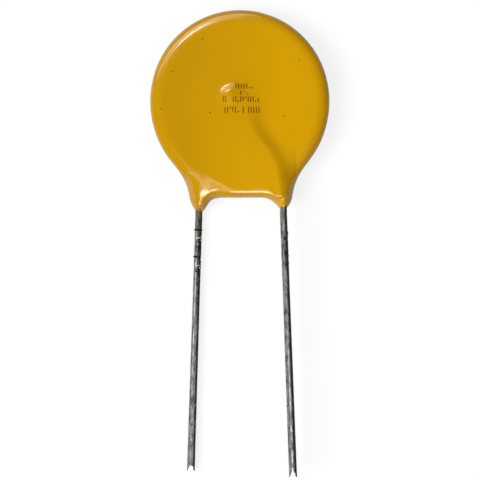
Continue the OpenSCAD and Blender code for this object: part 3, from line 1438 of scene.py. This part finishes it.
@dataclass(frozen=True)
class PrintedBlock:
    """Faint block of small printed bars, in rows, that lies on the front face and says nothing."""

    plan: DiscPlan
    name: str = "printed_block"
    rows: tuple[PrintRow, ...] = (
        PrintRow(x=0.50, y=1.50, length=1.9, bar_h=0.62),
        PrintRow(x=0.50, y=0.70, length=0.8, bar_h=0.50),
        PrintRow(x=0.25, y=-0.05, length=4.4, bar_h=0.66),
        PrintRow(x=0.25, y=-1.30, length=4.0, bar_h=0.74),
    )
    pitch: float = 0.29  # spacing of the bars
    bar_w: float = 0.115
    bar_t: float = 0.03  # half of it stands out of the lacquer
    bar_steps: int = 5  # vertices along a bar, so that it follows the face
    kept: float = 0.85  # share of the places that hold a bar
    cut_short: float = 0.45  # share of the bars that are shorter than their row
    shortest: float = 0.35  # the shortest, as a share of its row's height
    reach: float = 10.0  # how far over the face the block is dropped from
    seed: int = 11  # of which places are kept and of the bars' sizes

    def tree(self, values: dict[str, Any]) -> GeometrySketch:
        """Tree that sets bars along lines and drapes them on another piece.

        Args:
            values: The tree's named inputs.

        Returns:
            The finished tree.
        """
        sketch = GeometrySketch.start("printed_bars", values)
        inputs = {"Curve": sketch.line(), "Length": sketch["Pitch"]}
        places = sketch.take("GeometryNodeResampleCurve", inputs, mode="LENGTH")
        kept = sketch.random("BOOLEAN", {"Probability": sketch["Kept"]})
        inputs = {"Size": sketch["Bar"], "Vertices X": 2, "Vertices Y": sketch["Bar Steps"]}
        bar = sketch.take("GeometryNodeMeshCube", inputs)
        drawn = sketch.random("FLOAT_VECTOR", {0: (0.0,) * 3, 1: (1.0,) * 3})
        full, part, way = sketch.split(drawn)
        named = {"Name": "bar_h"}
        row_h = sketch.take("GeometryNodeInputNamedAttribute", named, data_type="FLOAT")
        full = sketch.math("GREATER_THAN", full, sketch["Cut Short"])
        part = sketch.math("MAXIMUM", full, sketch.math("MAXIMUM", part, sketch["Shortest"]))
        spare = sketch.math("SUBTRACT", 1.0, part)
        way = sketch.math("SUBTRACT", sketch.math("GREATER_THAN", way, 0.5), 0.5)
        shift = sketch.joined(0.0, sketch.product(spare, row_h, way, MM))
        places = sketch.moved(places, Offset=shift)
        size = sketch.joined(1.0, sketch.product(part, row_h), 1.0)
        inputs = {"Points": places, "Selection": kept, "Instance": bar, "Scale": size}
        bars = sketch.take("GeometryNodeInstanceOnPoints", inputs)
        real = sketch.take("GeometryNodeRealizeInstances", {"Geometry": bars})

        place = sketch.place()
        x, y, z = sketch.split(place)
        inputs = {
            "Target Geometry": sketch.surface_of("Face"),
            "Source Position": sketch.vector("ADD", place, sketch["Drop"]),
            "Ray Direction": (0.0, 0.0, -1.0),
            "Ray Length": 2.0 * self.reach * MM,
        }
        hit = sketch.take("GeometryNodeRaycast", inputs, "Hit Position")
        height = sketch.math("ADD", sketch.split(hit)[2], z)
        sketch.close(sketch.moved(real, Position=sketch.joined(x, y, height)), smooth=False)
        return sketch

    def build(self, face: bpy.types.Object, ink: bpy.types.Material) -> bpy.types.Object:
        """Print the block.

        Args:
            face: Piece that it is printed on.
            ink: The print's material.

        Returns:
            The block's object.
        """
        ends = [
            (row.x + end * row.length, row.y, -self.plan.centre[2])
            for row in self.rows for end in (-0.5, 0.5)
        ]
        heights = [row.bar_h for row in self.rows for _ in range(2)]
        base = line_mesh("print_rows", self.plan.to_frame(np.array(ends)), to_a_line=2)
        base.attributes.new("bar_h", "FLOAT", "POINT").data.foreach_set("value", heights)
        tree = self.tree({
            "Face": face,
            "Pitch": self.pitch * MM,
            "Bar": (self.bar_w * MM, 1.0 * MM, self.bar_t * MM),
            "Bar Steps": self.bar_steps,
            "Kept": self.kept,
            "Cut Short": self.cut_short,
            "Shortest": self.shortest,
            "Drop": (0.0, 0.0, self.reach * MM),
            "Seed": self.seed,
            "Finish": ink,
        })
        return tree.run(self.name, base)


@dataclass(frozen=True)
class StuckGrains:
    """Small flattened grains stuck here and there on part of another piece's surface."""

    name: str
    kind: Deposit
    lead: Side | None  # the lead that bears them, or None for the lacquer
    facing: tuple[float, float, float]  # direction that the bearing surface faces
    least: float  # how nearly it has to face that way, as a cosine
    span: Span  # lowest and highest place
    per_mm2: float  # grains to the square millimetre
    half: Span  # half width of the smallest and the largest grain
    flat: float  # height of a grain as a share of its width
    seed: int  # of their places and sizes
    both_ways: bool = False  # whether the opposite direction will do as well
    # Least and greatest stretch of a grain along its own axes.
    uneven: tuple[tuple[float, ...], ...] = ((0.7, 0.7, 0.8), (1.3, 1.3, 1.2))
    smoothness: int = 2  # subdivisions of a grain

    def tree(self, values: dict[str, Any]) -> GeometrySketch:
        """Tree that scatters grains on the chosen part of another piece.

        Args:
            values: The tree's named inputs.

        Returns:
            The finished tree.
        """
        sketch = GeometrySketch.start("stuck_grains", values)
        dot = sketch.vector("DOT_PRODUCT", sketch.normal(), sketch["Facing"], output="Value")
        if self.both_ways:
            dot = sketch.math("ABSOLUTE", dot)
        level = sketch.split(sketch.place())[1]
        facing = sketch.math("GREATER_THAN", dot, sketch["Least"])
        over = sketch.math("GREATER_THAN", level, sketch["Low Y"])
        under = sketch.math("LESS_THAN", level, sketch["High Y"])
        chosen = sketch.product(facing, over, under)
        inputs = {
            "Mesh": sketch.surface_of("Host"), "Selection": chosen,
            "Density": sketch["Density"], "Seed": sketch["Seed"],
        }
        places = sketch.add("GeometryNodeDistributePointsOnFaces", inputs).outputs
        inputs = {"Radius": 1.0, "Subdivisions": self.smoothness}
        grain = sketch.take("GeometryNodeMeshIcoSphere", inputs)
        width = sketch.random("FLOAT", {2: sketch["Small"], 3: sketch["Large"]})
        size = sketch.joined(width, width, sketch.product(width, sketch["Flat"]))
        stretch = sketch.random("FLOAT_VECTOR", dict(enumerate(self.uneven)))
        inputs = {
            "Points": places["Points"], "Instance": grain, "Rotation": places["Rotation"],
            "Scale": sketch.vector("MULTIPLY", size, stretch),
        }
        sketch.close(sketch.take("GeometryNodeInstanceOnPoints", inputs))
        return sketch

    def build(
        self, plan: DiscPlan, host: bpy.types.Object, finish: bpy.types.Material
    ) -> bpy.types.Object:
        """Scatter the grains.

        Args:
            plan: Plan of the part.
            host: Piece that they stick to.
            finish: Their material.

        Returns:
            The grains' object.
        """
        low_y, high_y = (float(y + plan.centre[1]) * MM for y in self.span)
        small, large = (half * MM for half in self.half)
        tree = self.tree({
            "Host": host,
            "Facing": self.facing,
            "Least": self.least,
            "Low Y": low_y,
            "High Y": high_y,
            "Density": self.per_mm2 / MM**2,
            "Small": small,
            "Large": large,
            "Flat": self.flat,
            "Seed": self.seed,
            "Finish": finish,
        })
        return tree.run(self.name, bpy.data.meshes.new(self.name + "_seed"))


ALL_GRAINS = (
    StuckGrains(
        "lacquer_specks", Deposit.SCORCH, None, facing=(0, 0, 1), least=0.9, span=(-9.0, 11.0),
        per_mm2=0.02, half=(0.045, 0.085), flat=0.3, seed=147, both_ways=True,
    ),
    StuckGrains(
        "front_residue", Deposit.SOOT, Side.FRONT, facing=(0.9, 0, 0.43), least=0.6,
        span=(-19.4, -15.6), per_mm2=5.0, half=(0.05, 0.14), flat=0.5, seed=3,
    ),
    StuckGrains(
        "rear_residue", Deposit.SOOT, Side.REAR, facing=(0.6, 0, 0.8), least=0.4,
        span=(-22.0, -13.6), per_mm2=5.0, half=(0.04, 0.12), flat=0.4, seed=8,
    ),
    StuckGrains(
        "pale_flecks", Deposit.FLUX, Side.REAR, facing=(0, 0, 1), least=0.2,
        span=(-20.0, -15.4), per_mm2=1.6, half=(0.05, 0.11), flat=0.4, seed=21,
    ),
    StuckGrains(
        "front_flecks", Deposit.FLUX, Side.FRONT, facing=(-0.3, 0, 0.95), least=0.7,
        span=(-40.6, -35.0), per_mm2=1.3, half=(0.05, 0.10), flat=0.3, seed=4,
    ),
    StuckGrains(
        "rear_flecks", Deposit.FLUX, Side.REAR, facing=(0, 0, 1), least=0.5,
        span=(-38.6, -35.0), per_mm2=1.4, half=(0.05, 0.10), flat=0.3, seed=4,
    ),
)


@dataclass(frozen=True)
class ResinThread:
    """Thread of dried resin across a lead; angles run from the right over the front."""

    below: float  # how far below the lacquer's foot it lies
    start: float  # where round the wire it starts, in degrees
    stop: float  # where it stops
    climb: float  # how far it climbs from start to stop


@dataclass(frozen=True)
class ResinThreads:
    """The threads of dried resin of one kind on the rear lead."""

    name: str
    kind: Deposit
    threads: tuple[ResinThread, ...]
    half: float  # half width of a thread
    waver: float = 0.09  # how far its surface wanders
    waver_grain: float = 6000.0  # how often, to the metre
    sides: int = 8  # of a thread's section
    points: int = 24  # along a thread

    def tree(self, values: dict[str, Any]) -> GeometrySketch:
        """Tree that sweeps a small uneven section along lines.

        Args:
            values: The tree's named inputs.

        Returns:
            The finished tree.
        """
        sketch = GeometrySketch.start("swept_threads", values)
        tube = sketch.swept(sketch["Sides"], sketch["Half"])
        inputs = {"Scale": sketch["Waver Grain"], "Detail": 1.0}
        noise = sketch.take("ShaderNodeTexNoise", inputs, "Color")
        push = sketch.scaled(sketch.vector("SUBTRACT", noise, (0.5, 0.5, 0.5)), sketch["Waver"])
        sketch.close(sketch.moved(tube, Offset=push))
        return sketch

    def build(
        self, plan: DiscPlan, pin: PinLine, foot_y: float, finish: bpy.types.Material
    ) -> bpy.types.Object:
        """Lay the threads round the wire.

        Args:
            plan: Plan of the part.
            pin: Axis of the lead that bears them.
            foot_y: Height of the lacquer's foot on that lead.
            finish: Their material.

        Returns:
            The threads' object.
        """
        places = []
        for thread in self.threads:
            angles = np.radians(np.linspace(thread.start, thread.stop, self.points))
            climb = thread.climb * np.linspace(0.0, 1.0, self.points)
            for angle, rise in zip(angles, climb):
                axis = pin.at_depth(foot_y - thread.below + rise)
                out = plan.wire_r * np.array([math.cos(angle), 0.0, math.sin(angle)])
                places.append(axis + out)
        base = line_mesh("thread_lines", plan.to_frame(np.array(places)), self.points)
        tree = self.tree({
            "Sides": self.sides,
            "Half": self.half * MM,
            "Waver": self.waver * MM,
            "Waver Grain": self.waver_grain,
            "Finish": finish,
        })
        return tree.run(self.name, base)


ALL_THREADS = (
    ResinThreads("dark_threads", Deposit.SOOT, half=0.10, threads=(
        ResinThread(below=2.25, start=-25.0, stop=205.0, climb=0.06),
        ResinThread(below=5.45, start=75.0, stop=215.0, climb=0.1),
    )),
    ResinThreads("pale_threads", Deposit.FLUX, half=0.06, threads=(
        ResinThread(below=3.1, start=40.0, stop=115.0, climb=-0.12),
        ResinThread(below=6.4, start=10.0, stop=118.0, climb=-0.1),
    )),
)


# ---- Studio ----


class LampRole(Enum):
    """What a lamp does: it lights matt surfaces, or it only shows in glossy ones."""

    LIGHT = "light"
    HIGHLIGHT = "highlight"


@dataclass(frozen=True)
class Lamp:
    """A rectangular soft lamp aimed at the disc: where it hangs, how large it is, how bright."""

    name: str
    role: LampRole
    azimuth: float
    elevation: float
    width: float
    height: float
    radiance: float
    distance: float = 220.0  # in millimetres, as the sizes are; the angles are in degrees

    def hang(self, target: np.ndarray) -> None:
        """Make the lamp.

        Args:
            target: Point that it faces, in millimetres in the model's frame.
        """
        around, up = math.radians(self.azimuth), math.radians(self.elevation)
        out = math.cos(up)
        toward = Vector((math.cos(around) * out, math.sin(around) * out, math.sin(up)))
        data = bpy.data.lights.new(self.name, "AREA")
        data.shape = "RECTANGLE"
        data.size, data.size_y = self.width * MM, self.height * MM
        data.energy = self.radiance * math.pi * data.size * data.size_y
        lamp = linked(self.name, data)
        lamp.location = (Vector(target) + toward * self.distance) * MM
        lamp.rotation_euler = toward.to_track_quat("Z", "Y").to_euler()
        mirrored = self.role is LampRole.HIGHLIGHT
        lamp.visible_glossy = mirrored
        lamp.visible_diffuse = not mirrored
        data.cycles.use_multiple_importance_sampling = mirrored


LAMPS = (
    Lamp("rim_lamp", LampRole.HIGHLIGHT, 120, 28, width=330, height=34, radiance=6.5),
    Lamp("rim_glow", LampRole.HIGHLIGHT, 119, 45, width=190, height=76, radiance=2.4),
    Lamp("nub_lamp", LampRole.HIGHLIGHT, 122, 48, width=64, height=26, radiance=25.0),
    Lamp("foot_lamp", LampRole.HIGHLIGHT, 274, 40, width=186, height=55, radiance=18.0),
    Lamp("foot_glow", LampRole.HIGHLIGHT, 258, 57, width=170, height=60, radiance=2.6),
    Lamp("main_lamp", LampRole.LIGHT, 195, 52, width=400, height=400, radiance=8.7, distance=700),
    Lamp("sky_lamp", LampRole.LIGHT, 0, 86, width=500, height=500, radiance=0.9, distance=400),
)


@dataclass(frozen=True)
class Studio:
    """White floor, soft lamps and a camera that looks straight down on the part."""

    plan: DiscPlan
    lens: float = 150.0  # this and the sensor's width fix the angle of view
    sensor: float = 36.0
    clip: Span = (10.0, 3000.0)
    view_width: float = 56.8  # width of the view at the disc's middle plane
    view_drop: float = 16.57  # how far below the disc's middle the view is centred
    view_shift: float = 0.02  # and how far to the right
    floor_size: float = 1200.0
    floor_colour: Colour = (0.20, 0.20, 0.20, 1.0)
    floor_shade: float = 0.98  # the darkest of its grain, as a share of that
    floor_grain: float = 300.0
    floor_rough: float = 0.9
    floor_glow: float = 0.82  # brightness of the floor where it is seen directly or mirrored
    world_glow: float = 0.03
    white: Colour = (1.0, 1.0, 1.0, 1.0)

    def camera(self) -> None:
        """Hang the camera straight over the part, with the top of the disc up in its view."""
        data = bpy.data.cameras.new("camera")
        data.lens, data.sensor_width = self.lens, self.sensor
        data.clip_start, data.clip_end = (distance * MM for distance in self.clip)
        away = self.view_width * self.lens / self.sensor
        camera = linked("camera", data)
        x, y, z = self.plan.centre
        camera.location = Vector((x + self.view_shift, y - self.view_drop, z + away)) * MM
        bpy.context.scene.camera = camera

    def floor_material(self) -> bpy.types.Material:
        """Pale floor that reads as white where it is seen directly or mirrored.

        Returns:
            The floor's material.
        """
        sketch = ShaderSketch.start("studio_floor")
        grain = sketch.noise((self.floor_grain,) * 3, detail=2.0)
        shaded = dimmed(self.floor_colour, self.floor_shade)
        colour = sketch.mix(grain, shaded, self.floor_colour)
        sketch.paint(colour, self.floor_rough, metallic=0.0, gloss=0.0)
        rays = sketch.add("ShaderNodeLightPath").outputs
        seen = sketch.math("MAXIMUM", rays["Is Camera Ray"], rays["Is Glossy Ray"])
        seen = sketch.math("MAXIMUM", seen, rays["Is Transmission Ray"])
        glow = sketch.product(seen, self.floor_glow)
        sketch.put(sketch.surface.inputs["Emission Color"], self.white)
        sketch.put(sketch.surface.inputs["Emission Strength"], glow)
        return sketch.material

    def floor(self) -> None:
        """Flat floor under the part."""
        half = self.floor_size / 2.0
        corners = np.array([(-half, -half, 0), (half, -half, 0), (half, half, 0), (-half, half, 0)])
        floor = mesh_object("floor", corners * MM, np.array([[0, 1, 2, 3]]))
        floor.data.materials.append(self.floor_material())

    def world(self) -> None:
        """Dim even surroundings."""
        world = bpy.data.worlds.new("surroundings")
        world.use_nodes = True
        background = world.node_tree.nodes["Background"]
        background.inputs["Color"].default_value = self.white
        background.inputs["Strength"].default_value = self.world_glow
        bpy.context.scene.world = world

    def build(self) -> None:
        """Set up the floor, the surroundings and the lamps."""
        self.floor()
        self.world()
        for lamp in LAMPS:
            lamp.hang(self.plan.centre)
        bpy.context.scene.view_settings.view_transform = "Standard"


# ---- The whole part ----


# Each lead's polished line, and where the painted shade darkens its right side and a band below the
# lacquer.
TIN = {
    Side.FRONT: TinFinish(
        "front_tin", line_at=-0.06, line_half=0.16, line_top=0.003, stain=(0.0245, 0.0285),
        stain_from=-0.05, flank_from=0.28,
    ),
    Side.REAR: TinFinish(
        "rear_tin", line_at=-0.38, line_half=0.17, line_top=0.0215, stain=(0.0175, 0.031),
        stain_from=-0.15, flank_from=0.42, film_from=0.0284,
    ),
}


def dress_cad_nodes(nodes: dict[str, bpy.types.Object]) -> None:
    """Give the buried pieces, which stay as the model has them, their real finishes.

    Args:
        nodes: The model's nodes by name.
    """
    ceramic = MattFinish("sintered_ceramic", (0.045, 0.045, 0.048, 1.0), 0.75)
    silver = MattFinish("fired_silver", (0.74, 0.73, 0.70, 1.0), 0.5, metallic=1.0, grain=7000.0)
    solder = MattFinish("soft_solder", (0.55, 0.56, 0.58, 1.0), 0.32, metallic=1.0, grain=1800.0)
    pairs = {kind: [f"{side.word}_{kind}" for side in Side] for kind in ("electrode", "solder")}
    dressed = ((ceramic, ["ceramic_disc"]), (silver, pairs["electrode"]), (solder, pairs["solder"]))
    for finish, names in dressed:
        material = finish.make()
        for name in names:
            data = nodes[name].data
            data.materials.clear()
            data.materials.append(material)
            LOG.info("dressed %s as %s", name, material.name)


def settle(piece: bpy.types.Object, slot: str, *nodes: str) -> None:
    """Fix a piece to the part and report it.

    Args:
        piece: The finished piece.
        slot: Name of one of the record's material slots; not used.
        nodes: The model's nodes that it stands for.
    """
    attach(piece, BODY)
    if nodes:
        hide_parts(*nodes)
    LOG.info("%s: %d faces", piece.name, len(piece.data.polygons))


def main() -> None:
    """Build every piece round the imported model, in order, and report it."""
    logging.basicConfig(level=logging.INFO, format="%(message)s")
    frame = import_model()
    plan = DiscPlan.from_frame(frame["record"])
    studio = Studio(plan)
    studio.camera()

    runs = {side: BuriedRun(plan, side) for side in Side}
    coating = LacquerSkin(plan, runs)
    skin = coating.build(LacquerFinish().make())
    settle(skin, "lacquer", "epoxy_coating")
    leads = {side: TinnedLead(plan, runs[side]).build(TIN[side].make()) for side in Side}
    for side, lead in leads.items():
        settle(lead, "tinned_wire", f"{side.word}_lead")

    deposits = {kind: kind.value.make() for kind in Deposit}
    settle(PrintedBlock(plan).build(skin, deposits[Deposit.INK]), "lacquer")
    for grains in ALL_GRAINS:
        host = leads.get(grains.lead, skin)
        slot = "lacquer" if host is skin else "tinned_wire"
        settle(grains.build(plan, host, deposits[grains.kind]), slot)
    for threads in ALL_THREADS:
        pin, foot_y = runs[Side.REAR].pin, coating.leg_tips[Side.REAR]
        settle(threads.build(plan, pin, foot_y, deposits[threads.kind]), "tinned_wire")

    dress_cad_nodes(frame["nodes"])
    studio.build()


if __name__ == "__main__":
    main()
